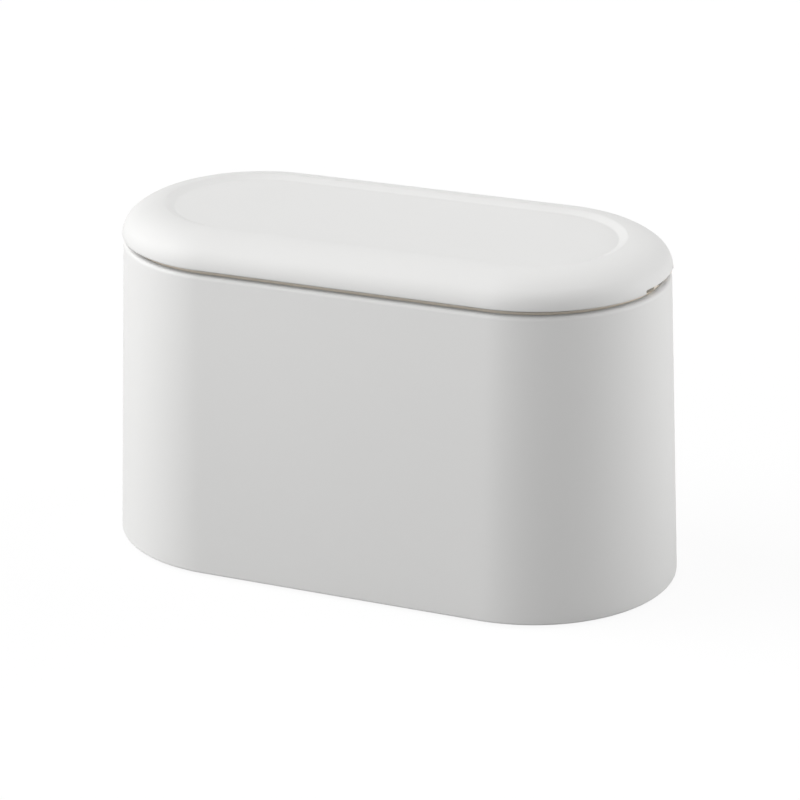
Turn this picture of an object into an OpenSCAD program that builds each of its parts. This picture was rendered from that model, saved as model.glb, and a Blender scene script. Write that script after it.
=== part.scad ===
// Push top countertop bin: a tapered racetrack sleeve with an inner bucket, a bag ring,
// and a sprung lid that a push latch holds shut. X runs along the bin, with the hinge at +X
// and the latch at -X. Y runs front to back. The origin is under the middle of the feet.

/* [Sleeve] */
// Length of the sleeve at its foot
foot_length = 230; // [215:1:245]
// Width of the sleeve at its foot
foot_width = 115; // [110:1:120]
// Height of the sleeve, from its lower edge to its rim
sleeve_height = 121.5; // [115:0.5:150]
// How far the wall leans in at the rim, on each side
lean = 5; // [3:0.25:6]
// Thickness of the sleeve wall
sleeve_wall = 2.4; // [2:0.1:2.8]
// Height of the ledge that carries the bucket, below the rim
ledge_drop = 18.5; // [17.5:0.25:20]
// Reach of the ledge inwards from the wall, at the rim's width
ledge_reach = 3.5; // [3:0.1:4]
// Thickness of the ledge at its inner edge
ledge_thickness = 2.5; // [2:0.1:3]

/* [Base] */
// Thickness of the base plate
plate_thickness = 2.4; // [2:0.1:3]
// How far the base plate sits up inside the sleeve
plate_recess = 0.6; // [0.4:0.1:1.5]
// Height of the stiffening ribs on the base plate
rib_height = 1.6; // [1:0.1:2]
// Diameter of each foot pad
pad_diameter = 14; // [10:1:18]
// How far the foot pads stand out below the sleeve
pad_proud = 1; // [0.6:0.1:1.6]
// Depth of the seat of each foot pad in the base plate
pad_seat = 1.2; // [0.8:0.1:1.4]
// Distance of the foot pads inside the sleeve's ends
pad_end = 39; // [30:1:50]
// Distance of the foot pads inside the sleeve's long sides
pad_side = 27.5; // [24:0.5:36]
// Outer diameter of the screw posts inside the sleeve
post_diameter = 7; // [6:0.5:8]
// Length of the screw posts inside the sleeve
post_length = 10; // [8:1:14]
// Distance of the side posts from where the bin's ends begin to curve
post_inset = 15.5; // [8:0.5:25]

/* [Bucket] */
// Thickness of the bucket wall
bucket_wall = 1.6; // [1.2:0.1:2]
// Thickness of the bucket flange
bucket_flange = 2; // [1.6:0.1:2.4]
// How far the bucket wall leans in at its floor
bucket_lean = 2.5; // [2:0.25:3.5]
// Gap between the bucket floor and the base plate's ribs
bucket_lift = 1; // [0.6:0.2:2]
// Radius of the edge round the bucket floor
bucket_round = 6; // [4:0.5:8]
// Radius of the finger scallops in the bucket flange
scallop_radius = 9; // [7:0.5:11]

/* [Bag ring] */
// Thickness of the ring's walls
ring_wall = 1.8; // [1.5:0.1:2.2]
// Height of the ring's outer wall above the sleeve rim
ring_rise = 0.7; // [0.4:0.1:1]
// Depth of the ring's deck below the sleeve rim
deck_drop = 3.5; // [3:0.1:4]
// Distance of the bag opening inside the sleeve rim, along its sides
opening_side = 12.5; // [12:0.25:15]
// Distance of the bag opening inside the sleeve rim, at its ends
opening_end = 26; // [26:0.5:30]
// Depth of the chute that holds the bag, below the deck
chute_depth = 16; // [12:1:22]
// Width of the foot of the ring, on the bucket flange
ring_foot = 4; // [3.5:0.1:5]
// Diameter of the two rubber bumpers under the lid
bumper_diameter = 5; // [4:0.5:6]

/* [Lid] */
// Height of the gap between the sleeve rim and the lid
lid_gap = 2; // [1.9:0.05:2.4]
// How far the lid stands out past the sleeve rim
lid_overhang = 0.4; // [0.2:0.1:0.6]
// Height of the lid, from its lower edge to its crest
lid_height = 12.2; // [11.8:0.1:13]
// Width of the rounded shoulder
shoulder_width = 17; // [16:0.25:18]
// Radius of the lower part of the shoulder
shoulder_radius = 9.5; // [9:0.1:10]
// Thickness of the lid shell
lid_wall = 2.2; // [1.8:0.1:2.4]
// Depth of the pressing area in the top
dish_depth = 1.4; // [1:0.1:1.8]
// Width of the sloping edge round the pressing area
dish_slope = 4; // [3:0.25:5]
// Height of the liner plate above the lid's lower edge
liner_height = 2.8; // [2.6:0.1:3]
// Thickness of the liner plate
liner_thickness = 1.6; // [1.4:0.1:2]
// Width of the broken lower outer edge of the lid
edge_break = 0.35; // [0.2:0.05:0.5]
// Thickness of the stiffening ribs inside the lid and the ring
stiffener = 1.2; // [1:0.1:1.5]
// Gap between the liner and the side of the lid shell
liner_margin = 5.9; // [5.5:0.1:6.5]
// Width of the slot in the lid's rear edge
slot_width = 32; // [28:1:36]
// Height of the slot in the lid's rear edge
slot_height = 1.6; // [1.5:0.1:1.8]

/* [Hinge] */
// Diameter of the hinge pin
pin_diameter = 1.6; // [1.4:0.1:1.8]
// Outer diameter of the hinge knuckles
knuckle_diameter = 3.6; // [3.4:0.1:3.8]
// Width of the whole hinge
hinge_width = 21; // [19:0.5:22]
// Width of the lid's knuckle
lid_knuckle = 6; // [5:0.5:7]
// Width of each of the ring's two knuckles
ring_knuckle = 3.3; // [3:0.1:3.6]
// Distance of the hinge axis inside the sleeve rim
axis_inset = 2.7; // [2.6:0.05:2.8]
// Height of the hinge axis above the sleeve rim
axis_rise = 3.1; // [3:0.05:3.2]
// Wire diameter of the lid springs
lid_spring_wire = 0.5; // [0.4:0.05:0.5]
// Coils of each lid spring
lid_spring_coils = 5; // [3:1:6]

/* [Latch] */
// Clearance of the follower pin in the slider's heart-shaped track
track_clearance = 0.15; // [0.1:0.05:0.2]
// Depth of the heart-shaped track in the slider
track_depth = 0.5; // [0.4:0.05:0.7]
// Distance of the latch bar inside the sleeve rim
bar_inset = 17.5; // [17.3:0.1:18]
// Depth of the latch bar below the sleeve rim
bar_drop = 5; // [4.5:0.1:5.5]
// Diameter of the latch bar
bar_diameter = 2.6; // [2.2:0.1:3]
// Clear length of the latch bar
bar_length = 12; // [11:0.5:13]
// Width of the latch slider, front to back
slider_width = 9; // [8:0.5:9.5]
// Depth of the latch slider, along the bin
slider_depth = 6; // [5.5:0.1:6.2]
// Height of the latch slider
slider_height = 9; // [8:0.5:9.5]
// Width of the catch, front to back
catch_width = 6; // [5:0.5:7]
// Thickness of the catch lever
catch_thickness = 2.2; // [2:0.1:2.6]
// How far the catch reaches over the latch bar
catch_reach = 1; // [0.8:0.1:1.2]
// Diameter of the catch pin
catch_pin_diameter = 1.6; // [1.4:0.1:1.8]
// Height of the catch, from its pin to its hook
catch_height = 9; // [8.5:0.25:9.5]
// Width of the latch housing, front to back
housing_width = 21; // [20:0.5:23]
// Wall thickness of the latch housing
housing_wall = 1.4; // [1.2:0.1:1.6]

/* [Fits] */
// Radial clearance of a turning pin
pin_clearance = 0.05; // [0.03:0.01:0.08]
// Clearance of sliding and lift-out pieces
slide_clearance = 0.3; // [0.2:0.05:0.4]
// Gap between the ring and the sleeve wall
ring_clearance = 0.7; // [0.5:0.1:0.9]
// Gap between the bucket wall and the ledge
bucket_clearance = 0.6; // [0.4:0.1:1]
// Gap left between a spring or a soft piece and its seat
seat_clearance = 0.2; // [0.1:0.05:0.3]

/* [Fasteners] */
// Thread diameter of the screws
screw_diameter = 2.5; // [2:0.1:3]
// Head diameter of the screws
screw_head = 4.6; // [4:0.2:5]
// Head height of the screws
screw_head_height = 1; // [0.8:0.1:1.2]

/* [Hidden] */
$fn = 72;
eps = 0.01;

// Levels
sleeve_bottom = pad_proud;
rim_z = sleeve_bottom + sleeve_height;
ledge_z = rim_z - ledge_drop;
plate_z = sleeve_bottom + plate_recess;
plate_top = plate_z + plate_thickness;
deck_z = rim_z - deck_drop;
lid_z = rim_z + lid_gap;
crest_z = lid_z + lid_height;
liner_z = lid_z + liner_height;
dish_z = crest_z - dish_depth;

// The racetrack: half its straight side, and its end radii at the foot and the rim
straight = (foot_length - foot_width) / 2;
foot_r = foot_width / 2;
rim_r = foot_r - lean;
lid_r = rim_r + lid_overhang;
function sleeve_r(z) = foot_r - lean * (z - sleeve_bottom) / sleeve_height;

// Sleeve and base
ledge_r = rim_r - sleeve_wall - ledge_reach;
rim_round = 0.6;
foot_round = 1;
plate_r = foot_r - sleeve_wall - slide_clearance;
post_r = foot_r - sleeve_wall - post_diameter / 2 - 1.2;
post_bore = screw_diameter - 0.4;
post_x = straight - post_inset;
POSTS = [
    [post_x, post_r], [-post_x, post_r], [post_x, -post_r], [-post_x, -post_r],
    [straight + post_r, 0], [-straight - post_r, 0]
];
base_screw_length = plate_thickness + post_length * 0.7;
pad_x = straight + foot_r - pad_end;
pad_y = foot_r - pad_side;
rib_thickness = 1.4;
rib_step = straight / 2;
rib_frame_r = plate_r * 0.62;

// Bucket and bag ring
ring_r = rim_r - sleeve_wall - ring_clearance;
bucket_r = ledge_r - bucket_clearance;
flange_r = ring_r - 0.2;
bucket_z = plate_top + rib_height + bucket_lift;
flange_top = ledge_z + bucket_flange;
ring_top = rim_z + ring_rise;
gusset_foot = 0.8;
gusset_head = 4;
opening_r = rim_r - opening_side;
opening_straight = straight + rim_r - opening_end - opening_r;
bumper_turn = 118.3;
bumper_ring = ring_r - ring_wall - bumper_diameter / 2 - 1.9;
bumper_x = -straight + bumper_ring * cos(bumper_turn);
bumper_y = bumper_ring * sin(bumper_turn);
bumper_seat = 1.4;
bumper_stem = bumper_diameter - 2;
bumper_top = lid_z + 1.1;

// Lid
liner_r = lid_r - liner_margin;
shoulder_top = (pow(shoulder_width, 2) + pow(lid_height, 2) - 2 * shoulder_width * shoulder_radius)
    / (2 * (lid_height - shoulder_radius));
dish_r = lid_r - shoulder_width;
dish_arc = (pow(dish_slope, 2) + pow(dish_depth, 2)) / (4 * dish_depth);
boss_diameter = 6;
boss_x = straight + liner_r * 0.31;
boss_y = liner_r * 0.51;
boss_middle = liner_r * 0.6;
BOSSES = [
    [boss_x, boss_y], [-boss_x, boss_y], [boss_x, -boss_y], [-boss_x, -boss_y],
    [0, boss_middle], [0, -boss_middle]
];
lid_screw_length = 6;

// Hinge
axis_x = straight + rim_r - axis_inset;
axis_z = rim_z + axis_rise;
pin_r = pin_diameter / 2;
knuckle_r = knuckle_diameter / 2;
pocket_r = knuckle_r + slide_clearance;
coil_r = pin_r + seat_clearance + lid_spring_wire / 2;
spring_start = lid_knuckle / 2 + slide_clearance;
shelf_top = axis_z - coil_r - lid_spring_wire / 2 - seat_clearance;
leg_length = 12;
bracket_back = rim_r - sleeve_wall - ring_wall;
bracket_length = 8.5;
shelf_gap = 4.3;
window_margin = 1.5;

// Latch: the bar is on the striker, the slider is under it and the catch hooks over it
bar_x = -(straight + rim_r - bar_inset);
bar_z = rim_z - bar_drop;
bar_r = bar_diameter / 2;
slider_top = bar_z - bar_r - seat_clearance;
slider_bottom = slider_top - slider_height;
latch_spring_r = 2.1;
latch_spring_wire = 0.5;
latch_spring_bore = latch_spring_r + latch_spring_wire / 2 + slide_clearance;
spring_room = 3;
housing_floor = slider_bottom - spring_room;
spring_seat = slider_bottom + slider_height * 0.3;
track_z = slider_bottom + slider_height * 0.7;
TRACK = [[0, -2.8], [-1.6, -1.1], [-1.3, 1.5], [0, 0.2], [1.3, 1.5], [1.6, -1.1]];
notch_z = track_z + TRACK[3][1];
catch_pin_r = catch_pin_diameter / 2;
catch_eye = catch_pin_r + pin_clearance + 1;
catch_x = bar_x - slider_depth / 2 - slide_clearance - catch_eye;
hook_z = bar_z + bar_r + seat_clearance;
catch_z = hook_z - catch_height;
housing_back = catch_x - catch_eye - slide_clearance - 0.3;
housing_front = bar_x + slider_depth / 2 + slide_clearance + 2.6;
tab_reach = 5;
tab_width = housing_width + 2 * tab_reach;
tab_thickness = 1.4;
housing_top = deck_z + tab_thickness + 1;
latch_screw_y = (housing_width + tab_reach) / 2;
LATCH_SCREWS = [[bar_x, latch_screw_y], [bar_x, -latch_screw_y]];
latch_screw_length = 5;
striker_leg = 2;
striker_depth = 5;
striker_plate = 1.6;
striker_reach = 7;
striker_y = bar_length / 2 + striker_leg + striker_reach;
striker_screw_y = striker_y - screw_head / 2 - 0.7;
STRIKER_SCREWS = [[bar_x, striker_screw_y], [bar_x, -striker_screw_y]];
striker_screw_length = 2.8;
track_pin_r = 0.4;
track_pin_x = bar_x + slider_depth / 2 + slide_clearance + 0.7;

// A profile of distance and height, swept round a racetrack with the given half straight
module racetrack(half) {
    translate([half, 0, 0]) rotate([0, 0, -90]) rotate_extrude(angle = 180) children();
    translate([-half, 0, 0]) rotate([0, 0, 90]) rotate_extrude(angle = 180) children();
    for (side = [0, 1])
        mirror([0, side, 0])
            translate([-half, 0, 0])
                rotate([90, 0, 90])
                    linear_extrude(2 * half) children();
}

// A profile in x and z, drawn out evenly to both sides of the XZ plane
module across(width) {
    translate([0, width / 2, 0]) rotate([90, 0, 0]) linear_extrude(width) children();
}

module block(low, high) {
    translate(low) cube(high - low);
}

// Points of a coil round Z, from angle 0, rising by the given length
function coil_points(radius, coils, length, steps = 16) = [
    for (i = [0 : coils * steps])
        [radius * cos(360 * i / steps), radius * sin(360 * i / steps), length * i / (coils * steps)]
];

// Round wire swept along points that run mostly across Z
module wire(points, diameter, sides = 8) {
    last = len(points) - 1;
    rings = [
        for (i = [0 : last])
            let (
                run = points[min(i + 1, last)] - points[max(i - 1, 0)],
                along = run / norm(run),
                side = cross(along, [0, 0, 1]) / norm(cross(along, [0, 0, 1])),
                up = cross(side, along)
            )
            for (j = [0 : sides - 1])
                points[i] + diameter / 2 * (cos(360 * j / sides) * side + sin(360 * j / sides) * up)
    ];
    polyhedron(
        rings,
        concat(
            [[for (j = [0 : sides - 1]) j]],
            [for (i = [0 : last - 1], j = [0 : sides - 1])
                [i * sides + j, (i + 1) * sides + j,
                 (i + 1) * sides + (j + 1) % sides, i * sides + (j + 1) % sides]],
            [[for (j = [sides - 1 : -1 : 0]) last * sides + j]]
        )
    );
}

module pan_screw(length) {
    cylinder(d = screw_diameter, h = length);
    difference() {
        translate([0, 0, -screw_head_height]) cylinder(d = screw_head, h = screw_head_height);
        for (turn = [0, 90])
            rotate([0, 0, turn])
                translate([-screw_head * 0.3, -0.3, -screw_head_height - eps])
                    cube([screw_head * 0.6, 0.6, screw_head_height * 0.6]);
    }
}

// Sleeve: a tapered tube with a ledge for the bucket and posts for the base screws
module sleeve_profile() {
    polygon([
        [sleeve_r(sleeve_bottom) - foot_round, sleeve_bottom],
        [sleeve_r(sleeve_bottom) - foot_round * 0.3, sleeve_bottom + foot_round * 0.3],
        [sleeve_r(sleeve_bottom + foot_round), sleeve_bottom + foot_round],
        [sleeve_r(rim_z - rim_round), rim_z - rim_round],
        [rim_r - rim_round * 0.3, rim_z - rim_round * 0.3],
        [rim_r - rim_round, rim_z],
        [rim_r - sleeve_wall, rim_z],
        [sleeve_r(ledge_z) - sleeve_wall, ledge_z],
        [ledge_r, ledge_z],
        [ledge_r, ledge_z - ledge_thickness],
        [sleeve_r(ledge_z - 3 * ledge_thickness) - sleeve_wall, ledge_z - 3 * ledge_thickness],
        [foot_r - sleeve_wall, sleeve_bottom]
    ]);
}

module outer_sleeve() {
    color([0.93, 0.93, 0.92]) {
        racetrack(straight) sleeve_profile();
        for (at = POSTS)
            sleeve_post(at);
    }
}

// A post with a blind screw hole, tied to the wall by a rib
module sleeve_post(at) {
    out = abs(at[1]) > 1 ? [0, sign(at[1])] : [sign(at[0]), 0];
    turn = atan2(out[1], out[0]);
    reach = foot_r - sleeve_wall - post_r;
    translate([at[0], at[1], plate_top]) {
        difference() {
            union() {
                cylinder(d = post_diameter, h = post_length);
                rotate([0, 0, turn])
                    translate([0, -1, 0]) cube([reach + 0.6, 2, post_length]);
            }
            translate([0, 0, -eps]) cylinder(d = post_bore, h = post_length * 0.8);
        }
    }
}

// Base plate: closes the sleeve from below, and is stiffened by a rib frame
module base_plate() {
    color([0.86, 0.86, 0.85])
        difference() {
            union() {
                racetrack(straight)
                    polygon([
                        [0, plate_z], [plate_r, plate_z], [plate_r, plate_top], [0, plate_top]
                    ]);
                racetrack(straight)
                    translate([rib_frame_r, plate_top - eps])
                        square([rib_thickness, rib_height + eps]);
                for (i = [-2 : 2])
                    block([i * rib_step - rib_thickness / 2, -rib_frame_r, plate_top - eps],
                          [i * rib_step + rib_thickness / 2, rib_frame_r, plate_top + rib_height]);
            }
            for (x = [-1, 1], y = [-1, 1])
                translate([x * pad_x, y * pad_y, plate_z - eps])
                    cylinder(d = pad_diameter + 2 * seat_clearance, h = pad_seat + eps);
            for (at = POSTS)
                translate([at[0], at[1], plate_z - eps]) {
                    cylinder(d = screw_diameter + 0.5, h = plate_thickness + 2 * eps);
                    cylinder(d = screw_head + 0.6, h = screw_head_height + 0.2 + eps);
                }
        }
}

// A soft pad with a domed edge, glued into its seat
module foot_pad(x, y) {
    height = pad_proud + plate_recess + pad_seat;
    color([0.55, 0.55, 0.54])
        translate([x * pad_x, y * pad_y, 0])
            rotate_extrude()
                polygon([
                    [0, 0], [pad_diameter / 2 - 0.8, 0], [pad_diameter / 2, 0.8],
                    [pad_diameter / 2, height], [0, height]
                ]);
}

module base_screws() {
    color([0.7, 0.7, 0.72])
        for (at = POSTS)
            translate([at[0], at[1], plate_z + screw_head_height + 0.2])
                pan_screw(base_screw_length);
}

// Bucket: a tapered tub that hangs by its flange on the ledge
module bucket_profile() {
    low_r = bucket_r - bucket_lean;
    steps = 6;
    polygon(concat(
        [[0, bucket_z]],
        [for (i = [0 : steps])
            [low_r - bucket_round + bucket_round * sin(90 * i / steps),
             bucket_z + bucket_round - bucket_round * cos(90 * i / steps)]],
        [[bucket_r, ledge_z], [flange_r, ledge_z], [flange_r, flange_top],
         [bucket_r - bucket_wall, flange_top]],
        [for (i = [steps : -1 : 0])
            [low_r - bucket_round + (bucket_round - bucket_wall) * sin(90 * i / steps),
             bucket_z + bucket_round - (bucket_round - bucket_wall) * cos(90 * i / steps)]],
        [[0, bucket_z + bucket_wall]]
    ));
}

module inner_bucket() {
    color([0.80, 0.81, 0.81])
        difference() {
            racetrack(straight) bucket_profile();
            for (side = [-1, 1])
                translate([0, side * (flange_r + scallop_radius * 0.7), ledge_z - eps])
                    cylinder(r = scallop_radius, h = bucket_flange + 2 * eps);
        }
}

// Bag ring: traps the bag on the bucket flange, and carries the hinge and the latch
module bag_ring() {
    color([0.66, 0.62, 0.57])
        difference() {
            union() {
                racetrack(straight) {
                    translate([ring_r - ring_wall, flange_top])
                        square([ring_wall, ring_top - flange_top]);
                    translate([ring_r - ring_foot, flange_top]) square([ring_foot, ring_wall]);
                }
                difference() {
                    racetrack(straight)
                        polygon([
                            [0, deck_z - ring_wall], [ring_r - ring_wall / 2, deck_z - ring_wall],
                            [ring_r - ring_wall / 2, deck_z], [0, deck_z]
                        ]);
                    racetrack(opening_straight)
                        translate([0, deck_z - ring_wall - 1])
                            square([opening_r - eps, ring_wall + 2]);
                }
                racetrack(opening_straight)
                    polygon([
                        [opening_r, deck_z - chute_depth],
                        [opening_r, deck_z - ring_wall],
                        [opening_r, deck_z + 0.6],
                        [opening_r - 0.6, deck_z + 1.2],
                        [opening_r - ring_wall + 0.6, deck_z + 1.2],
                        [opening_r - ring_wall, deck_z + 0.6],
                        [opening_r - ring_wall, deck_z - chute_depth]
                    ]);
                ring_gussets();
                hinge_brackets();
                for (side = [-1, 1])
                    translate([bumper_x, side * bumper_y, deck_z - ring_wall / 2])
                        cylinder(d = bumper_diameter + 2, h = bumper_seat + ring_wall / 2);
            }
            block([housing_back - slide_clearance, -housing_width / 2 - slide_clearance, deck_z - 4],
                  [housing_front + slide_clearance, housing_width / 2 + slide_clearance, deck_z + 2]);
            for (at = LATCH_SCREWS)
                translate([at[0], at[1], deck_z - ring_wall - 1])
                    cylinder(d = screw_diameter - 0.4, h = ring_wall + 2);
            translate([axis_x, 0, axis_z])
                rotate([90, 0, 0])
                    cylinder(r = pin_r + pin_clearance, h = hinge_width + 2, center = true);
            for (side = [-1, 1])
                translate([bumper_x, side * bumper_y, deck_z + eps])
                    cylinder(d = bumper_stem + 2 * pin_clearance, h = bumper_seat + 1);
        }
}

// Gussets that tie the ring's long walls to its deck
module ring_gussets() {
    top = deck_z - ring_wall / 2;
    for (i = [-2 : 2], side = [0, 1])
        mirror([0, side, 0])
            translate([i * rib_step - stiffener / 2, 0, 0])
                rotate([90, 0, 90])
                    linear_extrude(stiffener)
                        polygon([
                            [ring_r - ring_wall / 2, flange_top + ring_wall / 2],
                            [ring_r - ring_wall - gusset_foot, flange_top + ring_wall / 2],
                            [ring_r - ring_wall - gusset_head, top],
                            [ring_r - ring_wall / 2, top]
                        ]);
}

// Two upright ears with knuckles, and the shelf between them that the springs push on
module hinge_brackets() {
    low = deck_z - ring_wall / 2;
    for (side = [-1, 1])
        translate([0, side * (hinge_width - ring_knuckle) / 2, 0])
            across(ring_knuckle) {
                translate([axis_x, axis_z]) circle(r = knuckle_r);
                polygon([
                    [axis_x - bracket_length, low],
                    [straight + bracket_back, low],
                    [straight + bracket_back, rim_z + 0.4],
                    [axis_x + knuckle_r * 0.6, axis_z - knuckle_r * 0.8],
                    [axis_x, axis_z],
                    [axis_x - knuckle_r * 0.6, axis_z + knuckle_r * 0.8],
                    [axis_x - knuckle_r - 2, axis_z - 1]
                ]);
            }
    block([axis_x - leg_length, -hinge_width / 2 + ring_knuckle - eps, low],
          [axis_x - shelf_gap, hinge_width / 2 - ring_knuckle + eps, shelf_top]);
}

// A rubber bumper, with a stem that is pressed into its seat on the ring's deck
module bumper(side) {
    color([0.45, 0.45, 0.45])
        translate([bumper_x, side * bumper_y, deck_z]) {
            translate([0, 0, seat_clearance])
                cylinder(d = bumper_stem, h = bumper_seat);
            translate([0, 0, bumper_seat])
                cylinder(d = bumper_diameter, h = bumper_top - deck_z - bumper_seat);
        }
}

// Latch housing: a moulded box with a shaft for the slider and a bay for the catch
module latch_housing() {
    shaft_x = slider_depth / 2 + slide_clearance;
    shaft_y = slider_width / 2 + slide_clearance;
    bay_y = catch_width / 2 + slide_clearance;
    striker_room_x = striker_depth / 2 + 3 * slide_clearance;
    striker_room_y = bar_length / 2 + striker_leg + 2 * slide_clearance;
    color([0.88, 0.88, 0.87])
        difference() {
            union() {
                block([housing_back, -housing_width / 2, housing_floor - housing_wall],
                      [housing_front, housing_width / 2, deck_z + eps]);
                block([housing_back - 1, -tab_width / 2, deck_z],
                      [housing_front + 0.6, tab_width / 2, deck_z + tab_thickness]);
            }
            block([bar_x - shaft_x, -shaft_y, housing_floor],
                  [bar_x + shaft_x, shaft_y, housing_top]);
            block([bar_x - striker_room_x, -striker_room_y, bar_z - bar_r - 2.4],
                  [bar_x + striker_room_x, striker_room_y, housing_top]);
            block([housing_back - 2, -bay_y, catch_z - catch_eye - slide_clearance],
                  [bar_x, bay_y, housing_top]);
            block([track_pin_x - 0.8, -2, housing_floor + 1],
                  [track_pin_x + 0.8, 2, housing_top]);
            translate([catch_x, 0, catch_z])
                rotate([90, 0, 0])
                    cylinder(r = catch_pin_r + pin_clearance, h = housing_width + 2, center = true);
            for (at = LATCH_SCREWS)
                translate([at[0], at[1], deck_z - eps])
                    cylinder(d = screw_diameter + 0.4, h = tab_thickness + 1);
        }
}

module latch_screws() {
    color([0.7, 0.7, 0.72])
        for (at = LATCH_SCREWS)
            translate([at[0], at[1], deck_z + tab_thickness])
                mirror([0, 0, 1]) pan_screw(latch_screw_length);
}

// Slider: a plunger with a spring bore below and a heart-shaped cam track in its side
module latch_slider() {
    face = bar_x + slider_depth / 2;
    color([0.95, 0.95, 0.95])
        difference() {
            block([bar_x - slider_depth / 2, -slider_width / 2, slider_bottom],
                  [face, slider_width / 2, slider_top]);
            translate([bar_x, 0, slider_bottom - eps])
                cylinder(r = latch_spring_bore, h = spring_seat - slider_bottom + eps);
            translate([face - track_depth, 0, track_z])
                rotate([90, 0, 90]) linear_extrude(2 * track_depth) cam_track();
        }
}

// The heart-shaped track: a channel of even width round an island whose notch parks the pin
module cam_track() {
    channel_r = track_pin_r + track_clearance;
    for (i = [0 : len(TRACK) - 1]) {
        run = TRACK[(i + 1) % len(TRACK)] - TRACK[i];
        translate(TRACK[i]) {
            circle(r = channel_r, $fn = 24);
            rotate(atan2(run[1], run[0]))
                translate([0, -channel_r]) square([norm(run), 2 * channel_r]);
        }
    }
}

module latch_spring() {
    end = latch_spring_wire / 2 + 0.05;
    color([0.75, 0.75, 0.77])
        translate([bar_x, 0, housing_floor + end])
            wire(coil_points(latch_spring_r, 6, spring_seat - housing_floor - 2 * end),
                 latch_spring_wire);
}

// A bent wire: its foot turns in the housing wall, its tip follows the cam track
module track_pin() {
    low = housing_floor + 1.4;
    high = notch_z;
    color([0.75, 0.75, 0.77]) {
        translate([track_pin_x, 0, low]) cylinder(r = track_pin_r, h = high - low, $fn = 24);
        for (z = [low, high])
            translate([track_pin_x, 0, z]) sphere(r = track_pin_r, $fn = 24);
        translate([track_pin_x - 0.85, 0, high])
            rotate([0, 90, 0]) cylinder(r = track_pin_r, h = 0.85, $fn = 24);
        translate([track_pin_x, 0, low])
            rotate([0, 90, 0]) cylinder(r = track_pin_r, h = 0.75, $fn = 24);
    }
}

// Catch: a rocking lever whose hook holds the striker bar down
module catch() {
    half = catch_thickness / 2;
    tip = bar_x - bar_r + catch_reach;
    color([0.9, 0.9, 0.88])
        difference() {
            across(catch_width) {
                translate([catch_x, catch_z]) circle(r = catch_eye);
                polygon([
                    [catch_x - half, catch_z],
                    [catch_x + half, catch_z],
                    [catch_x + half, hook_z],
                    [tip - 0.2, hook_z],
                    [tip, hook_z + 0.3],
                    [catch_x + half, hook_z + 2.6],
                    [catch_x - half + 0.6, hook_z + 2.6],
                    [catch_x - half, hook_z + 2]
                ]);
            }
            translate([catch_x, 0, catch_z])
                rotate([90, 0, 0])
                    cylinder(r = catch_pin_r + pin_clearance, h = catch_width + 2, center = true);
            catch_spring_room();
        }
}

// The gap in the catch's eye that its spring sits in
module catch_spring_room() {
    translate([catch_x, 0, catch_z])
        rotate([90, 0, 0])
            cylinder(r = catch_eye + 0.4, h = 2.4, center = true);
}

module catch_pin() {
    color([0.75, 0.75, 0.77])
        translate([catch_x, 0, catch_z])
            rotate([90, 0, 0])
                cylinder(r = catch_pin_r, h = housing_width - 2, center = true);
}

module catch_spring() {
    thick = 0.4;
    radius = catch_thickness / 2 + thick / 2 + 0.1;
    turns = [for (p = coil_points(radius, 4, 1.8)) [-p[0], -p[1], p[2]]];
    color([0.75, 0.75, 0.77])
        translate([catch_x, 0.9, catch_z])
            rotate([90, 0, 0])
                wire(concat([[-radius, 3, 0]], turns, [[-radius, -1.8, 1.8]]), thick);
}

// Hinge pin: a plain steel rod through the ring's and the lid's knuckles
module hinge_pin() {
    color([0.75, 0.75, 0.77])
        translate([axis_x, 0, axis_z])
            rotate([90, 0, 0])
                cylinder(r = pin_r, h = hinge_width, center = true);
}

// A torsion spring: coils on the pin, one leg under the liner and one on the shelf
module lid_spring(side) {
    length = hinge_width / 2 - ring_knuckle - spring_start - lid_spring_wire - 0.2;
    color([0.75, 0.75, 0.77])
        translate([axis_x, side * (spring_start + lid_spring_wire / 2 + 0.1), axis_z])
            mirror([0, side > 0 ? 0 : 1, 0])
                rotate([-90, 0, 0])
                    mirror([0, 1, 0])
                        wire(lid_spring_path(length), lid_spring_wire);
}

// The spring's path in its own frame: its legs both run to -X, at +Y and at -Y
function lid_spring_path(length, steps = 16) = let (
    turns = lid_spring_coils - 0.5
) concat(
    [[-leg_length, coil_r, 0], [-leg_length / 2, coil_r, 0]],
    [for (i = [0 : turns * steps])
        let (a = 90 - 360 * i / steps)
        [coil_r * cos(a), coil_r * sin(a), length * i / (turns * steps)]],
    [[-leg_length / 2, -coil_r, length], [2 - leg_length, -coil_r, length]]
);

// The area under the lid's shoulder, taken in by the given skin
module shoulder_area(skin) {
    low = [lid_r - shoulder_radius, lid_z];
    high = [lid_r - shoulder_width, crest_z - shoulder_top];
    way = (low - high) / norm(low - high);
    far = 2 * shoulder_top;
    intersection() {
        translate([0, lid_z - 1 + (skin > 0 ? 0 : 1)]) square([lid_r + 1, lid_height + 1]);
        union() {
            translate([0, lid_z - 1]) square([high[0], lid_height + 1 - skin]);
            translate(low) circle(r = shoulder_radius - skin);
            intersection() {
                translate(high) circle(r = shoulder_top - skin);
                polygon([high, high + far * way, high + [0, 1.5 * far]]);
            }
            if (skin > 0)
                translate([0, lid_z - 1]) square([lid_r - skin, 1]);
        }
    }
}

// The air above the pressing area, with an S-shaped slope of two equal arcs
module dish_area() {
    foot = [dish_r - dish_slope, dish_z];
    middle = [dish_r - dish_slope / 2, dish_z + dish_depth / 2];
    half = [dish_slope / 2, dish_depth / 2];
    difference() {
        union() {
            polygon([
                [0, dish_z], foot, middle, [dish_r, crest_z], [dish_r, crest_z + 1], [0, crest_z + 1]
            ]);
            intersection() {
                translate(foot + [0, dish_arc]) circle(r = dish_arc);
                translate(foot) square(half);
            }
        }
        intersection() {
            translate([dish_r, crest_z - dish_arc]) circle(r = dish_arc);
            translate(middle) square(half);
        }
    }
}

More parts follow.
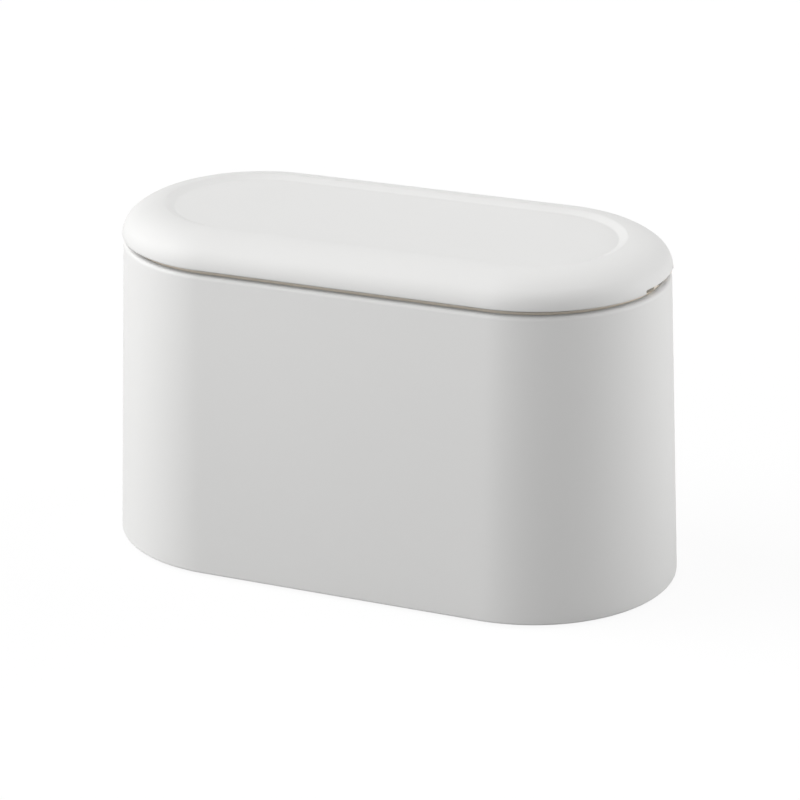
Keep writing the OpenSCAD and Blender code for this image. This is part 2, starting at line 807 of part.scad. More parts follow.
module lid_profile() {
    difference() {
        shoulder_area(0);
        dish_area();
        difference() {
            shoulder_area(lid_wall);
            translate([0, dish_z - lid_wall])
                square([dish_r - dish_slope / 2 + lid_wall, lid_height]);
        }
        polygon([
            [lid_r - edge_break, lid_z - 1], [lid_r - edge_break, lid_z],
            [lid_r + 1, lid_z + edge_break + 1], [lid_r + 1, lid_z - 1]
        ]);
    }
}

// A frame of ribs under the pressing area that ties the screw posts together
module lid_ribs() {
    low = liner_z + liner_thickness + seat_clearance;
    high = dish_z - lid_wall / 2;
    half = stiffener / 2;
    for (side = [-1, 1])
        block([-boss_x, side * boss_y - half, low], [boss_x, side * boss_y + half, high]);
    for (side = [-1, 1])
        block([side * boss_x - half, -boss_y, low], [side * boss_x + half, boss_y, high]);
    block([-half, -boss_middle, low], [half, boss_middle, high]);
}

// Lid shell: the visible cover, with posts inside for the liner's screws
module lid_shell() {
    color([0.94, 0.94, 0.93])
        difference() {
            union() {
                racetrack(straight) lid_profile();
                for (at = BOSSES)
                    translate([at[0], at[1], liner_z + liner_thickness])
                        cylinder(d = boss_diameter, h = dish_z - lid_wall / 2 - liner_z - liner_thickness);
                lid_ribs();
            }
            for (at = BOSSES)
                translate([at[0], at[1], liner_z])
                    cylinder(d = screw_diameter - 0.4, h = dish_z - lid_wall - liner_z - 0.4);
            block([straight + lid_r / 2, -slot_width / 2, lid_z - 1],
                  [straight + lid_r + 5, slot_width / 2, lid_z + slot_height]);
            translate([axis_x, 0, axis_z])
                rotate([90, 0, 0])
                    cylinder(r = pocket_r, h = hinge_width + 2 * slide_clearance + 0.6, center = true);
        }
}

// Lid liner: closes the lid from below, and holds its knuckle and the striker
module lid_liner() {
    window = hinge_width / 2 + window_margin;
    color([0.90, 0.90, 0.89])
        difference() {
            union() {
                difference() {
                    racetrack(straight) {
                        translate([0, liner_z]) square([liner_r, liner_thickness]);
                        translate([liner_r - 1.6, liner_z])
                            square([1.6, liner_thickness + 1.4]);
                    }
                    block([axis_x - leg_length + window_margin, -window, liner_z - 1],
                          [straight + lid_r, window, liner_z + lid_height]);
                }
                across(lid_knuckle) {
                    translate([axis_x, axis_z]) circle(r = knuckle_r);
                    polygon([
                        [axis_x - leg_length, liner_z],
                        [axis_x - knuckle_r - 1.6, liner_z],
                        [axis_x - knuckle_r * 0.8, axis_z - knuckle_r * 0.6],
                        [axis_x, axis_z],
                        [axis_x, axis_z + knuckle_r],
                        [axis_x - knuckle_r - 0.8, liner_z + liner_thickness],
                        [axis_x - leg_length, liner_z + liner_thickness]
                    ]);
                }
            }
            translate([axis_x, 0, axis_z])
                rotate([90, 0, 0])
                    cylinder(r = pin_r + pin_clearance, h = lid_knuckle + 2, center = true);
            for (at = BOSSES)
                translate([at[0], at[1], liner_z - 1])
                    cylinder(d = screw_diameter + 0.5, h = liner_thickness + 2);
            for (at = STRIKER_SCREWS)
                translate([at[0], at[1], liner_z - 1])
                    cylinder(d = screw_diameter - 0.4, h = liner_thickness + 2);
        }
}

module lid_screws() {
    color([0.7, 0.7, 0.72])
        for (at = BOSSES)
            translate([at[0], at[1], liner_z])
                pan_screw(lid_screw_length - 1.6);
}

// Striker: a plate under the liner with two legs that hold the latch bar
module striker() {
    color([0.9, 0.9, 0.88])
        difference() {
            union() {
                block([bar_x - striker_depth / 2, -striker_y, liner_z - striker_plate],
                      [bar_x + striker_depth / 2, striker_y, liner_z]);
                for (side = [-1, 1])
                    translate([0, side * (bar_length + striker_leg) / 2, 0])
                        across(striker_leg) {
                            translate([bar_x, bar_z]) circle(d = striker_depth - 1);
                            translate([bar_x - (striker_depth - 1) / 2, bar_z])
                                square([striker_depth - 1, liner_z - bar_z]);
                        }
                translate([bar_x, 0, bar_z])
                    rotate([90, 0, 0])
                        cylinder(r = bar_r, h = bar_length + striker_leg, center = true);
            }
            for (at = STRIKER_SCREWS)
                translate([at[0], at[1], liner_z - striker_plate - 1])
                    cylinder(d = screw_diameter + 0.4, h = striker_plate + 2);
        }
}

module striker_screws() {
    color([0.7, 0.7, 0.72])
        for (at = STRIKER_SCREWS)
            translate([at[0], at[1], liner_z - striker_plate])
                pan_screw(striker_screw_length);
}

outer_sleeve();
base_plate();
foot_pad(-1, -1);  // front_left_foot
foot_pad(1, -1);  // front_right_foot
foot_pad(-1, 1);  // rear_left_foot
foot_pad(1, 1);  // rear_right_foot
base_screws();
inner_bucket();
bag_ring();
bumper(-1);  // front_bumper
bumper(1);  // rear_bumper
latch_housing();
latch_screws();
latch_slider();
latch_spring();
track_pin();
catch();
catch_pin();
catch_spring();
hinge_pin();
lid_spring(-1);  // front_lid_spring
lid_spring(1);  // rear_lid_spring
lid_shell();
lid_liner();
lid_screws();
striker();
striker_screws();
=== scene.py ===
import math

import bmesh
import bpy
from mathutils import Matrix, Vector


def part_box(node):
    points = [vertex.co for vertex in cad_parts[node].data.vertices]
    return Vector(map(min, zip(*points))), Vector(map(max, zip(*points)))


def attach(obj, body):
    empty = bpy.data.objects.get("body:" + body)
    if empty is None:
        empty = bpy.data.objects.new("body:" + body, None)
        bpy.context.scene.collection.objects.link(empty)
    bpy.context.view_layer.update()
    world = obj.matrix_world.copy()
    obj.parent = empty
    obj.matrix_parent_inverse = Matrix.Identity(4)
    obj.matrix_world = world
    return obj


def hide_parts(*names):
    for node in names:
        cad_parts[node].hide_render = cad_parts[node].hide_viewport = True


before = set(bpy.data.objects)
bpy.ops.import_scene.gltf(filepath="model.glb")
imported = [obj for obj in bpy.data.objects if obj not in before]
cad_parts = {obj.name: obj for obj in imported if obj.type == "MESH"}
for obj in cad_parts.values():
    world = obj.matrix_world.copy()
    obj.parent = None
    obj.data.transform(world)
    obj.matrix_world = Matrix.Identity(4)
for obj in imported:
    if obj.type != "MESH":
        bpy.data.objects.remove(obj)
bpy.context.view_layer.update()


# Camera: the photograph's viewpoint, from the front and a little to the right and above.
# It stands well back with a long lens, so the bin's sides hardly converge.
camera_turn = math.radians(22.74)
camera_tilt = math.radians(21.31)
camera_roll = math.radians(0.34)
camera_distance = 1.220
camera_lens = 139.9
camera_shift_right = 0.00233
camera_shift_up = -0.00030
aim_point = Vector((0.0, 0.0, 0.0618))

back = Vector((math.sin(camera_turn) * math.cos(camera_tilt),
               -math.cos(camera_turn) * math.cos(camera_tilt),
               math.sin(camera_tilt)))
level_right = Vector((math.cos(camera_turn), math.sin(camera_turn), 0.0))
level_up = back.cross(level_right)
right = level_right * math.cos(camera_roll) - level_up * math.sin(camera_roll)
up = level_right * math.sin(camera_roll) + level_up * math.cos(camera_roll)
camera_data = bpy.data.cameras.new("camera")
camera_data.lens = camera_lens
camera_data.sensor_width = 36.0
camera_data.clip_end = 20.0
camera = bpy.data.objects.new("camera", camera_data)
bpy.context.scene.collection.objects.link(camera)
eye = aim_point + back * camera_distance + right * camera_shift_right + up * camera_shift_up
camera.matrix_world = Matrix.Translation(eye) @ Matrix((right, up, back)).transposed().to_4x4()
bpy.context.scene.camera = camera


# Studio: a plain pale floor, an even white surround, and four broad soft lights from the left,
# the front, above and the right, which leave the near right corner of the bin a little darker.
# The floor glows like a light table, so that only a trace of the bin's shadow is left on it.
surround_strength = 0.35
floor_seen = (0.08, 0.08, 0.08, 1.0)
floor_glow = 0.92
floor_bounce = (0.44, 0.44, 0.44, 1.0)
floor_size = 8.0
light_spread = math.radians(40)
lights = {
    "left_light": ((-0.920, -0.370, 0.130), 0.55),
    "front_light": ((-0.470, -0.814, 0.342), 0.76),
    "upper_light": ((-0.683, -0.183, 0.707), 1.99),
    "right_light": ((0.847, 0.489, 0.208), 2.28),
}

world = bpy.data.worlds.new("studio")
world.use_nodes = True
surround = world.node_tree.nodes["Background"]
surround.inputs["Color"].default_value = (1.0, 1.0, 1.0, 1.0)
surround.inputs["Strength"].default_value = surround_strength
bpy.context.scene.world = world
for name, (towards, strength) in lights.items():
    lamp = bpy.data.lights.new(name, "SUN")
    lamp.energy = strength
    lamp.angle = light_spread
    light = bpy.data.objects.new(name, lamp)
    light.rotation_euler = Vector(towards).to_track_quat("Z", "Y").to_euler()
    bpy.context.scene.collection.objects.link(light)
bpy.context.scene.view_settings.view_transform = "Standard"
bpy.context.scene.view_settings.look = "None"

bpy.ops.object.select_all(action="DESELECT")
bpy.ops.mesh.primitive_plane_add(size=floor_size, location=(0.0, 0.0, 0.0))
floor = bpy.context.active_object
floor.name = "floor"
floor_paint = bpy.data.materials.new("pale_floor")
floor_paint.use_nodes = True
nodes, links = floor_paint.node_tree.nodes, floor_paint.node_tree.links
nodes.clear()
seen = nodes.new("ShaderNodeBsdfDiffuse")
seen.inputs["Color"].default_value = floor_seen
glow = nodes.new("ShaderNodeEmission")
glow.inputs["Strength"].default_value = floor_glow
table = nodes.new("ShaderNodeAddShader")
bounce = nodes.new("ShaderNodeBsdfDiffuse")
bounce.inputs["Color"].default_value = floor_bounce
ray = nodes.new("ShaderNodeLightPath")
mix = nodes.new("ShaderNodeMixShader")
out = nodes.new("ShaderNodeOutputMaterial")
links.new(ray.outputs["Is Camera Ray"], mix.inputs["Fac"])
links.new(bounce.outputs["BSDF"], mix.inputs[1])
links.new(seen.outputs["BSDF"], table.inputs[0])
links.new(glow.outputs["Emission"], table.inputs[1])
links.new(table.outputs["Shader"], mix.inputs[2])
links.new(mix.outputs["Shader"], out.inputs["Surface"])
floor.data.materials.append(floor_paint)


# Outer sleeve: one matte white moulding, a tapered racetrack tube that is wider at its foot.
# Its rim is thickened inwards to a bead, slopes outwards and is rounded off. A ledge inside
# carries the bucket, and six ribbed posts near the foot take the base plate's screws.
sleeve_low, sleeve_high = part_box("outer_sleeve")
lid_low, lid_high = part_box("lid_shell")
half_straight = sleeve_high.x - sleeve_high.y
foot_r = sleeve_high.y
foot_z = sleeve_low.z
foot_round = 0.0010
lid_overhang = 0.0004
rim_r = lid_high.y - lid_overhang
rim_z = sleeve_high.z
rim_fall = 0.0004
rim_round = 0.0018
sleeve_wall = 0.0024
bead_width = 0.0005
bead_height = 0.003
bead_r = rim_r - sleeve_wall - bead_width
bead_z = rim_z - bead_height
ledge_depth = 0.0185
ledge_width = 0.0035
ledge_face = 0.0025
ledge_slope = 0.0075
ledge_z = rim_z - ledge_depth
ledge_r = rim_r - sleeve_wall - ledge_width
plate_thickness = 0.0024
plate_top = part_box("base_plate")[0].z + plate_thickness
post_r = 0.0035
post_gap = 0.0012
post_inset = 0.0155
post_height = 0.010
post_draft = 0.0001
post_out = foot_r - sleeve_wall - post_r - post_gap
post_side = half_straight - post_inset
post_rib_half = 0.001
post_rib_length = 0.0051


def moulded_grain():
    """Shared finish of moulded plastic: slow tone drift, fine spark-eroded grain, uneven sheen."""
    group = bpy.data.node_groups.new("moulded_grain", "ShaderNodeTree")
    face = group.interface
    for label, kind in (("Tone A", "NodeSocketColor"), ("Tone B", "NodeSocketColor"),
                        ("Grain Scale", "NodeSocketFloat"), ("Rough Low", "NodeSocketFloat"),
                        ("Rough High", "NodeSocketFloat")):
        face.new_socket(name=label, in_out="INPUT", socket_type=kind)
    for label, kind in (("Color", "NodeSocketColor"), ("Roughness", "NodeSocketFloat"),
                        ("Height", "NodeSocketFloat")):
        face.new_socket(name=label, in_out="OUTPUT", socket_type=kind)
    nodes, links = group.nodes, group.links
    inner = nodes.new("NodeGroupInput")
    outer = nodes.new("NodeGroupOutput")
    place = nodes.new("ShaderNodeTexCoord")
    drift = nodes.new("ShaderNodeTexNoise")
    drift.inputs["Scale"].default_value = 14.0
    drift.inputs["Detail"].default_value = 2.0
    grain = nodes.new("ShaderNodeTexNoise")
    grain.inputs["Detail"].default_value = 3.0
    grain.inputs["Roughness"].default_value = 0.65
    sheen = nodes.new("ShaderNodeTexNoise")
    sheen.inputs["Scale"].default_value = 60.0
    sheen.inputs["Detail"].default_value = 4.0
    for texture in (drift, grain, sheen):
        links.new(place.outputs["Object"], texture.inputs["Vector"])
    links.new(inner.outputs["Grain Scale"], grain.inputs["Scale"])
    blend = nodes.new("ShaderNodeMix")
    blend.data_type = "RGBA"
    links.new(drift.outputs["Fac"], blend.inputs[0])
    links.new(inner.outputs["Tone A"], blend.inputs[6])
    links.new(inner.outputs["Tone B"], blend.inputs[7])
    links.new(blend.outputs[2], outer.inputs["Color"])
    rough = nodes.new("ShaderNodeMapRange")
    rough.inputs["From Min"].default_value = 0.3
    rough.inputs["From Max"].default_value = 0.7
    links.new(sheen.outputs["Fac"], rough.inputs["Value"])
    links.new(inner.outputs["Rough Low"], rough.inputs["To Min"])
    links.new(inner.outputs["Rough High"], rough.inputs["To Max"])
    links.new(rough.outputs["Result"], outer.inputs["Roughness"])
    links.new(grain.outputs["Fac"], outer.inputs["Height"])
    return group


grain_group = moulded_grain()


def finish(name, tone_a, tone_b, grain_scale, rough, depth, specular=0.4, metallic=0.0):
    """A material with the shared grain; depth is the height of the grain in metres."""
    material = bpy.data.materials.new(name)
    material.use_nodes = True
    nodes, links = material.node_tree.nodes, material.node_tree.links
    shader = nodes["Principled BSDF"]
    grain = nodes.new("ShaderNodeGroup")
    grain.node_tree = grain_group
    grain.inputs["Tone A"].default_value = (*tone_a, 1.0)
    grain.inputs["Tone B"].default_value = (*tone_b, 1.0)
    grain.inputs["Grain Scale"].default_value = grain_scale
    grain.inputs["Rough Low"].default_value = rough[0]
    grain.inputs["Rough High"].default_value = rough[1]
    relief = nodes.new("ShaderNodeBump")
    relief.inputs["Strength"].default_value = 1.0
    relief.inputs["Distance"].default_value = depth
    links.new(grain.outputs["Color"], shader.inputs["Base Color"])
    links.new(grain.outputs["Roughness"], shader.inputs["Roughness"])
    links.new(grain.outputs["Height"], relief.inputs["Height"])
    links.new(relief.outputs["Normal"], shader.inputs["Normal"])
    shader.inputs["Specular IOR Level"].default_value = specular
    shader.inputs["Metallic"].default_value = metallic
    return material


def dress(piece, material):
    """Gives a piece its one material."""
    piece.data.materials.clear()
    piece.data.materials.append(material)
    return piece


def rounded(corners, steps=5):
    """An outline of (distance, height) points, from corners of (distance, height, radius)."""
    points = []
    for i, (r, z, radius) in enumerate(corners):
        here = Vector((r, z))
        before = Vector(corners[i - 1][:2]) - here
        after = Vector(corners[(i + 1) % len(corners)][:2]) - here
        if radius <= 0.0:
            points.append(here)
            continue
        half = before.angle(after) / 2
        run = min(radius / math.tan(half), before.length * 0.49, after.length * 0.49)
        middle = (before.normalized() + after.normalized()).normalized()
        centre = here + middle * run / math.cos(half)
        first = here + before.normalized() * run - centre
        last = here + after.normalized() * run - centre
        sweep = first.angle_signed(last)
        points += [centre + Matrix.Rotation(-sweep * k / steps, 2) @ first
                   for k in range(steps + 1)]
    return points


def racetrack(name, outline, straight, turns=128):
    """Spins a closed outline round Z, then pulls the halves apart along X into a racetrack."""
    bpy.ops.object.select_all(action="DESELECT")
    bpy.ops.mesh.primitive_plane_add(size=0.001, location=(0.0, 0.0, 0.0))
    piece = bpy.context.active_object
    piece.name = name
    bpy.ops.object.mode_set(mode="EDIT")
    bpy.ops.mesh.select_all(action="SELECT")
    bpy.ops.mesh.merge(type="CENTER")
    turn = math.pi / turns
    seat = [Vector((p[0] * math.cos(turn), p[0] * math.sin(turn), p[1])) for p in outline]
    bpy.ops.transform.translate(value=seat[0])
    for before, after in zip(seat, seat[1:] + seat[:1]):
        bpy.ops.mesh.extrude_region_move(TRANSFORM_OT_translate={"value": after - before})
    bpy.ops.mesh.select_all(action="SELECT")
    bpy.ops.mesh.remove_doubles(threshold=1e-7)
    bpy.ops.mesh.spin(steps=turns, angle=2 * math.pi, center=(0.0, 0.0, 0.0), axis=(0.0, 0.0, 1.0))
    bpy.ops.mesh.select_all(action="SELECT")
    bpy.ops.mesh.remove_doubles(threshold=2e-6)
    for side in (-1, 1):
        mesh = bmesh.from_edit_mesh(piece.data)
        for vertex in mesh.verts:
            vertex.select = vertex.co.x * side > 1e-6
        mesh.select_flush_mode()
        bmesh.update_edit_mesh(piece.data)
        if straight:
            bpy.ops.transform.translate(value=(side * straight, 0.0, 0.0))
    bpy.ops.mesh.select_all(action="SELECT")
    bpy.ops.mesh.normals_make_consistent(inside=False)
    bpy.ops.object.mode_set(mode="OBJECT")
    bpy.ops.object.shade_smooth_by_angle(angle=math.radians(35))
    return piece


def move(piece, shift):
    """Moves a piece's mesh and leaves its object at the origin."""
    bpy.ops.object.select_all(action="DESELECT")
    piece.select_set(True)
    bpy.context.view_layer.objects.active = piece
    bpy.ops.object.mode_set(mode="EDIT")
    bpy.ops.mesh.select_all(action="SELECT")
    bpy.ops.transform.translate(value=shift)
    bpy.ops.object.mode_set(mode="OBJECT")
    return piece


def block(name, low, high, bevel=0.0):
    """A box between two corners, with all of its edges rounded when a bevel is given."""
    bpy.ops.object.select_all(action="DESELECT")
    bpy.ops.mesh.primitive_cube_add(size=1.0, location=(0.0, 0.0, 0.0))
    piece = bpy.context.active_object
    piece.name = name
    low, high = Vector(low), Vector(high)
    bpy.ops.object.mode_set(mode="EDIT")
    bpy.ops.transform.resize(value=high - low)
    bpy.ops.transform.translate(value=(low + high) / 2)
    if bevel:
        bpy.ops.mesh.bevel(offset=bevel, segments=3)
    bpy.ops.object.mode_set(mode="OBJECT")
    return piece


def combine(piece, others, operation):
    """Joins other pieces to a piece, or cuts them out of it, and deletes them."""
    for other in others:
        change = piece.modifiers.new(operation.lower(), "BOOLEAN")
        change.operation = operation
        change.solver = "EXACT"
        change.object = other
        bpy.ops.object.select_all(action="DESELECT")
        piece.select_set(True)
        bpy.context.view_layer.objects.active = piece
        bpy.ops.object.modifier_apply(modifier=change.name)
        bpy.data.objects.remove(other, do_unlink=True)
    bpy.ops.object.shade_smooth_by_angle(angle=math.radians(35))
    return piece


matte_white = finish("matte_white", (0.774, 0.772, 0.764), (0.754, 0.752, 0.744), 2600.0,
                     (0.54, 0.62), 0.00001)


def wall_inside(z):
    """Distance of the sleeve's inner face from the bin's middle, at a height."""
    return foot_r - (foot_r - rim_r) * (z - foot_z) / (rim_z - foot_z) - sleeve_wall


sleeve = racetrack("sleeve_moulding", rounded([
    (foot_r, foot_z, foot_round),
    (rim_r, rim_z - rim_fall, rim_round),
    (bead_r, rim_z, 0.0004),
    (bead_r, bead_z, 0.0003),
    (wall_inside(bead_z - bead_width), bead_z - bead_width, 0.0),
    (wall_inside(ledge_z), ledge_z, 0.0),
    (ledge_r, ledge_z, 0.0003),
    (ledge_r, ledge_z - ledge_face, 0.0003),
    (wall_inside(ledge_z - ledge_slope), ledge_z - ledge_slope, 0.0),
    (foot_r - sleeve_wall, foot_z, 0.0005),
]), half_straight)
posts = []
for x, y in ((post_side, post_out), (-post_side, post_out), (post_side, -post_out),
             (-post_side, -post_out), (half_straight + post_out, 0.0),
             (-half_straight - post_out, 0.0)):
    post = racetrack("post", [(0.0, plate_top), (post_r, plate_top),
                              (post_r - post_draft, plate_top + post_height),
                              (0.0, plate_top + post_height)], 0.0, turns=32)
    middle = Vector((x, y, 0.0))
    posts.append(move(post, middle))
    across = Vector((post_rib_half, 0.0, 0.0) if y else (0.0, post_rib_half, 0.0))
    end = middle + Vector((0.0 if y else x, y, 0.0)).normalized() * post_rib_length
    corners = [middle - across, middle + across, end - across, end + across]
    posts.append(block("rib", (min(c.x for c in corners), min(c.y for c in corners), plate_top),
                       (max(c.x for c in corners), max(c.y for c in corners),
                        plate_top + post_height)))
combine(sleeve, posts, "UNION")
dress(sleeve, matte_white)
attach(sleeve, "sleeve")
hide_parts("outer_sleeve")


# Lid shell: the cover that is pressed, in the same matte white. Its shoulder is two arcs that
# meet without a corner, its top is dished by a soft slope, and its rear edge has the slot that
# the hinge is seen through. Six posts inside take the liner's screws.
lid_r = lid_high.y
lid_z = lid_low.z
crest_z = lid_high.z
lid_wall = 0.0022
shoulder_width = 0.017
shoulder_height = crest_z - lid_z
low_arc = 0.0095
high_arc = ((shoulder_width ** 2 + shoulder_height ** 2 - 2 * shoulder_width * low_arc)
            / (2 * (shoulder_height - low_arc)))
meeting = math.atan2(high_arc - shoulder_height, shoulder_width - low_arc)
edge_steps = ((0.00035, 0.0), (0.00012, 0.00008), (0.00002, 0.0003))
dish_r = lid_r - shoulder_width
dish_slope = 0.004
dish_ease = 0.0003
dish_soft = 0.0032
dish_depth = 0.0014
dish_z = crest_z - dish_depth
under_z = dish_z - lid_wall
liner_rise = 0.0044
liner_inset = 0.0059
liner_top = lid_z + liner_rise
liner_r = lid_r - liner_inset
boss_x = half_straight + liner_r * 0.31
boss_y = liner_r * 0.51
boss_middle = liner_r * 0.6
boss_bore = 0.0011
boss_tip_r = 0.0030
boss_root_r = 0.0032
boss_root_z = under_z + 0.001
bore_end_z = under_z - 0.0004
rib_half = 0.0006
rib_gap = 0.0025
rib_low = liner_top + 0.0002
rib_high = under_z + 0.0005
slot_half = 0.016
slot_height = 0.0016
slot_round = 0.0006
hinge_inset = 0.0027
hinge_rise = 0.0031
hinge_x = half_straight + rim_r - hinge_inset
hinge_z = rim_z + hinge_rise
pocket_r = 0.0019
pocket_half = 0.01055


def shoulder(skin, steps):
    """The lid's shoulder from its lower edge to its crest, taken in by the given skin."""
    points = []
    for k in range(steps + 1):
        angle = meeting * k / steps
        points.append(((lid_r - low_arc) + (low_arc - skin) * math.cos(angle),
                       lid_z + (low_arc - skin) * math.sin(angle)))
    for k in range(1, steps + 1):
        angle = meeting + (math.pi / 2 - meeting) * k / steps
        points.append((dish_r + (high_arc - skin) * math.cos(angle),
                       crest_z - high_arc + (high_arc - skin) * math.sin(angle)))
    return points


outside = shoulder(0.0, 14)
inside = shoulder(lid_wall, 10)
dish = rounded([
    (dish_r + 0.004, crest_z, 0.0), (dish_r - dish_ease, crest_z, dish_soft),
    (dish_r - dish_slope + dish_ease, dish_z, dish_soft), (0.0, dish_z, 0.0)], steps=7)[1:-1]
edge = [(lid_r - inwards, lid_z + upwards) for inwards, upwards in edge_steps]
fillet = [(dish_r - 0.0010, under_z), (dish_r + 0.0004, under_z + 0.0006),
          (dish_r + 0.0006, inside[-3][1])]
inner_wall = [p for p in reversed(inside) if p[0] > dish_r + 0.0012]
lid = racetrack("lid_moulding", edge + outside[1:] + dish + [(0.0, dish_z), (0.0, under_z)]
                + fillet + inner_wall, half_straight, turns=160)
bosses = []
for x, y in ((boss_x, boss_y), (-boss_x, boss_y), (boss_x, -boss_y), (-boss_x, -boss_y),
             (0.0, boss_middle), (0.0, -boss_middle)):
    boss = racetrack("boss", [(boss_bore, liner_top), (boss_tip_r, liner_top),
                              (boss_root_r, boss_root_z), (0.0, boss_root_z),
                              (0.0, bore_end_z), (boss_bore, bore_end_z)], 0.0, turns=32)
    bosses.append(move(boss, (x, y, 0.0)))
for side in (-1, 1):
    bosses.append(block("lid_rib", (-boss_x + rib_gap, side * boss_y - rib_half, rib_low),
                        (boss_x - rib_gap, side * boss_y + rib_half, rib_high)))
    bosses.append(block("lid_rib", (side * boss_x - rib_half, -boss_y + rib_gap, rib_low),
                        (side * boss_x + rib_half, boss_y - rib_gap, rib_high)))
bosses.append(block("lid_rib", (-rib_half, -boss_middle + rib_gap, rib_low),
                    (rib_half, boss_middle - rib_gap, rib_high)))
combine(lid, bosses, "UNION")
slot = block("slot", (half_straight + lid_r / 2, -slot_half, lid_z - 0.003),
             (half_straight + lid_r + 0.004, slot_half, lid_z + slot_height), slot_round)
pocket = racetrack("pocket", [(0.0, -pocket_half), (pocket_r, -pocket_half),
                              (pocket_r, pocket_half), (0.0, pocket_half)], 0.0, turns=48)
bpy.ops.object.mode_set(mode="EDIT")
bpy.ops.mesh.select_all(action="SELECT")
bpy.ops.transform.rotate(value=math.pi / 2, orient_axis="X", center_override=(0.0, 0.0, 0.0))
bpy.ops.transform.translate(value=(hinge_x, 0.0, hinge_z))
bpy.ops.object.mode_set(mode="OBJECT")
combine(lid, [slot, pocket], "DIFFERENCE")
dress(lid, matte_white)
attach(lid, "lid")
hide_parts("lid_shell")


# Lid liner: a plain white plate that closes the lid from below and carries the hinge knuckle.
# It is moulded in a slightly cooler white, and screwed to the lid's six posts.
liner_white = finish("liner_white", (0.74, 0.745, 0.75), (0.71, 0.715, 0.72), 1900.0,
                     (0.38, 0.46), 0.00001)


def softened(node, width):
    """A copy of a solid with its sharp edges rounded off by a width, as a mould leaves them."""
    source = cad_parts[node]
    mesh = source.data.copy()
    mesh.transform(source.matrix_world)
    piece = bpy.data.objects.new(node + "_moulding", mesh)
    bpy.context.scene.collection.objects.link(piece)
    bpy.ops.object.select_all(action="DESELECT")
    piece.select_set(True)
    bpy.context.view_layer.objects.active = piece
    bpy.ops.object.mode_set(mode="EDIT")
    bpy.ops.mesh.select_all(action="SELECT")
    bpy.ops.mesh.remove_doubles(threshold=2e-6)
    bpy.ops.object.mode_set(mode="OBJECT")
    edges = piece.modifiers.new("edges", "BEVEL")
    edges.limit_method = "ANGLE"
    edges.angle_limit = math.radians(40)
    edges.width = width
    edges.segments = 2
    edges.use_clamp_overlap = False
    bpy.ops.object.modifier_apply(modifier=edges.name)
    bpy.ops.object.shade_smooth_by_angle(angle=math.radians(20))
    return piece


liner = dress(softened("lid_liner", 0.0003), liner_white)
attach(liner, "lid")
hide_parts("lid_liner")


# Bag ring: a warm grey moulding that traps the bag on the bucket's flange. Its top edge is the
# band that shows under the lid, and it carries the hinge at one end and the latch at the other.
ring_grey = finish("ring_grey", (0.84, 0.765, 0.66), (0.80, 0.73, 0.63), 1800.0,
                   (0.35, 0.45), 0.00001)
ring = dress(softened("bag_ring", 0.00015), ring_grey)
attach(ring, "ring")
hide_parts("bag_ring")


# Inner bucket: a lift-out tub in cool grey polypropylene, with a rolled flange that hangs on
# the sleeve's ledge and a scallop in each long side for a finger.
bucket_low, bucket_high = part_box("inner_bucket")
flange_r = bucket_high.y
flange_width = 0.0032
flange_height = 0.002
flange_z = bucket_high.z - flange_height
flange_round = 0.0009
bucket_r = flange_r - flange_width
bucket_wall = 0.0016
bucket_taper = 0.0025
bucket_foot_round = 0.006
bucket_floor_z = bucket_low.z + bucket_wall
scallop_r = 0.009
scallop_draft = 0.0003
bucket_grey = finish("bucket_grey", (0.60, 0.61, 0.62), (0.57, 0.58, 0.59), 1500.0,
                     (0.30, 0.40), 0.00001, specular=0.5)
bucket = racetrack("bucket_moulding", rounded([
    (0.0, bucket_low.z, 0.0),
    (bucket_r - bucket_taper, bucket_low.z, bucket_foot_round),
    (bucket_r, flange_z, 0.0004),
    (flange_r, flange_z, 0.0004),
    (flange_r, bucket_high.z, flange_round),
    (bucket_r - bucket_wall, bucket_high.z, flange_round),
    (bucket_r - bucket_wall - bucket_taper, bucket_floor_z, 0.0045),
    (0.0, bucket_floor_z, 0.0),
], steps=7), half_straight)
scallops = []
for side in (-1, 1):
    scallop = racetrack("scallop", [(0.0, flange_z - 0.0001), (scallop_r, flange_z - 0.0001),
                                    (scallop_r + scallop_draft, bucket_high.z + 0.001),
                                    (0.0, bucket_high.z + 0.001)], 0.0, turns=64)
    scallops.append(move(scallop, (0.0, side * (flange_r + scallop_r * 0.7), 0.0)))
combine(bucket, scallops, "DIFFERENCE")
dress(bucket, bucket_grey)
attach(bucket, "bucket")
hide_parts("inner_bucket")


# Base plate: a white plate with a frame of ribs, screwed up into the sleeve's posts.
plate = dress(softened("base_plate", 0.0003), liner_white)
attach(plate, "sleeve")
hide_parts("base_plate")


# Foot pads: four soft grey rubber pads with a rounded edge and two shallow grip grooves, each
# glued into its seat in the base plate.
pad_rubber = finish("pad_rubber", (0.135, 0.135, 0.132), (0.115, 0.115, 0.112), 900.0,
                    (0.75, 0.88), 0.00003, specular=0.3)
foot_nodes = ("front_left_foot", "front_right_foot", "rear_left_foot", "rear_right_foot")
pad_low, pad_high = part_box(foot_nodes[0])
pad_r = (pad_high.x - pad_low.x) / 2
pad_round = 0.0008
groove_depth = 0.0003
groove_steps = ((0.30, 0.0), (0.33, groove_depth), (0.40, groove_depth), (0.43, 0.0),
                (0.62, 0.0), (0.65, groove_depth), (0.72, groove_depth), (0.75, 0.0))
pad = racetrack("pad", rounded(
    [(0.0, pad_low.z, 0.0)]
    + [(pad_r * share, pad_low.z + rise, 0.0) for share, rise in groove_steps]
    + [(pad_r, pad_low.z, pad_round), (pad_r, pad_high.z, 0.0001), (0.0, pad_high.z, 0.0)],
), 0.0, turns=48)
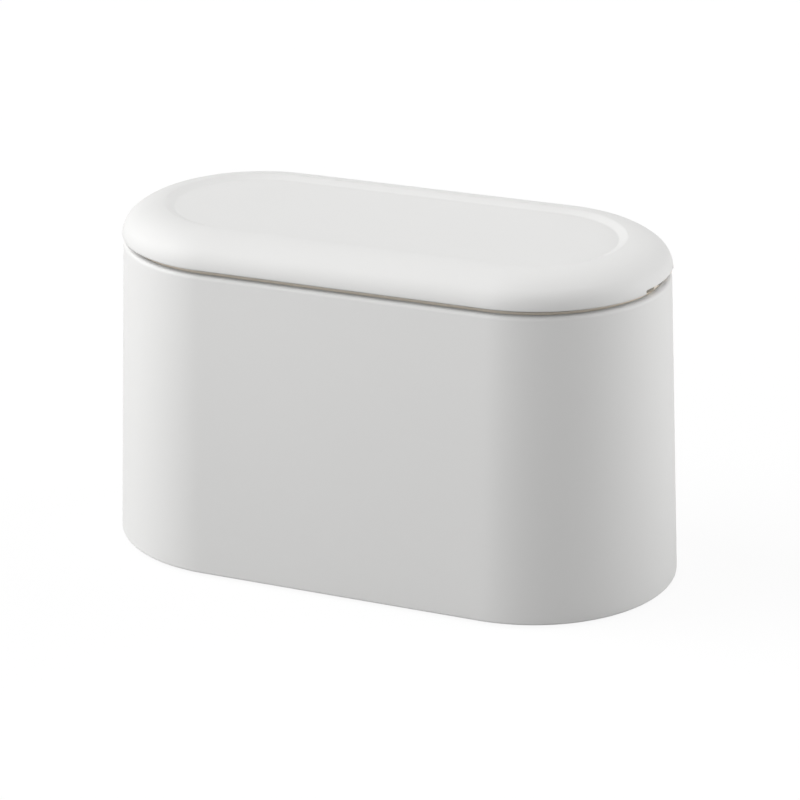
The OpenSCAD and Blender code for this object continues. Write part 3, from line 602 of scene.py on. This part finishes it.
for node in foot_nodes:
    low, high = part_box(node)
    bpy.ops.object.select_all(action="DESELECT")
    pad.select_set(True)
    bpy.context.view_layer.objects.active = pad
    bpy.ops.object.duplicate()
    copy = move(bpy.context.active_object, ((low.x + high.x) / 2, (low.y + high.y) / 2, 0.0))
    copy.name = node + "_pad"
    dress(copy, pad_rubber)
    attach(copy, "sleeve")
    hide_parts(node)
bpy.data.objects.remove(pad, do_unlink=True)


# Screws: zinc-plated pan-head screws for the base plate, the liner, the latch and the striker.
zinc = finish("zinc_plate", (0.62, 0.63, 0.65), (0.50, 0.51, 0.54), 700.0, (0.28, 0.42),
              0.000008, specular=0.5, metallic=1.0)
for node in ("base_screws", "lid_screws", "latch_screws", "striker_screws"):
    dress(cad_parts[node], zinc)


# Hinge pin, catch pin, track pin and springs: bright drawn spring steel.
spring_steel = finish("spring_steel", (0.56, 0.56, 0.57), (0.44, 0.44, 0.46), 1200.0,
                      (0.22, 0.34), 0.000005, specular=0.5, metallic=1.0)
for node in ("hinge_pin", "catch_pin", "track_pin", "latch_spring", "catch_spring",
             "front_lid_spring", "rear_lid_spring"):
    dress(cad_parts[node], spring_steel)


# Latch: the housing, the slider with its heart-shaped track, the catch and the striker are
# moulded in natural acetal, which slides without oil and has a slightly waxy surface.
# Each one's edges are softened by the width given here, in metres.
acetal = finish("natural_acetal", (0.76, 0.75, 0.71), (0.72, 0.71, 0.67), 1400.0,
                (0.26, 0.36), 0.000006, specular=0.5)
for node, body, width, slot_name in (("latch_housing", "ring", 0.0003, "white_inner"),
                                     ("latch_slider", "slider", 0.0002, "natural_acetal"),
                                     ("catch", "catch", 0.0002, "natural_acetal"),
                                     ("striker", "lid", 0.0003, "natural_acetal")):
    part = dress(softened(node, width), acetal)
    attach(part, body)
    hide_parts(node)


# Bumpers: two domed rubber buffers, pressed into the ring's deck, that quieten the lid.
bumper_rubber = finish("bumper_rubber", (0.11, 0.11, 0.11), (0.09, 0.09, 0.09), 1100.0,
                       (0.70, 0.85), 0.00002, specular=0.3)
seat_height = 0.0014
seat_gap = 0.0002
seat_width = 0.001
dome_round = 0.0012
for node in ("front_bumper", "rear_bumper"):
    low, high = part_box(node)
    bumper_r = (high.x - low.x) / 2
    stem_r = bumper_r - seat_width
    seat_z = low.z - seat_gap + seat_height
    bumper = racetrack(node + "_dome", rounded([
        (0.0, low.z, 0.0), (stem_r, low.z, 0.0003), (stem_r, seat_z, 0.0),
        (bumper_r, seat_z, 0.0002), (bumper_r, high.z, dome_round),
        (0.0, high.z, 0.0)]), 0.0, turns=40)
    move(bumper, ((low.x + high.x) / 2, (low.y + high.y) / 2, 0.0))
    dress(bumper, bumper_rubber)
    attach(bumper, "ring")
    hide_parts(node)
